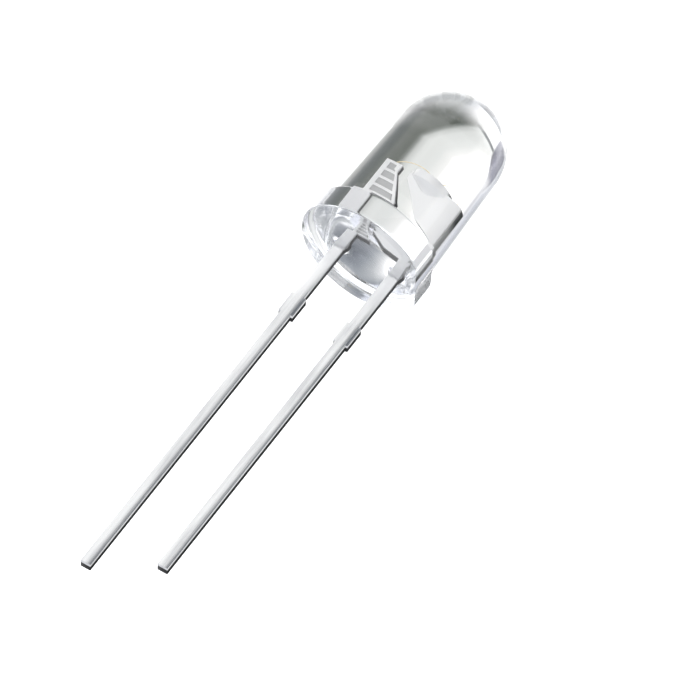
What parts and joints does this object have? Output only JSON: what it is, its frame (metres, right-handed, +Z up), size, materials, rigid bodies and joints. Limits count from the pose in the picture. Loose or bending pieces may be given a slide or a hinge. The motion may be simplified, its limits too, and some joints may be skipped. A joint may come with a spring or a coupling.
{
  "type": "through-hole LED",
  "caption": "Clear domed through-hole LED with a flanged base, a flat on its cathode side and long stamped leads of unequal length; lights up as an indicator on a circuit board.",
  "frame": {"origin": "middle of the seat: where the lens axis meets the flat underside of the flange", "axes": "+X along the lens axis, from the seat toward the dome; +Y from the cathode lead toward the anode lead; +Z up, square to the flat pair of leads. The leads run from the seat toward -X."},
  "size_m": [0.0266, 0.0053, 0.0056],
  "materials": {
    "clear_epoxy": "moulded glossy, water clear; stands for cast epoxy resin",
    "tinned_steel": "bright tin plate over stamped steel, satin",
    "silver_glue": "cured silver-filled glue, dull grey",
    "chip_crystal": "polished crystal with metal pads; stands for sapphire",
    "gold_wire": null
  },
  "bodies": {
    "root": {"lens_body": "clear_epoxy", "anode_lead": "tinned_steel", "cathode_lead": "tinned_steel", "die_attach": "silver_glue", "led_chip": "chip_crystal", "anode_bond_wire": "gold_wire", "cathode_bond_wire": "gold_wire"}
  },
  "joints": []
}
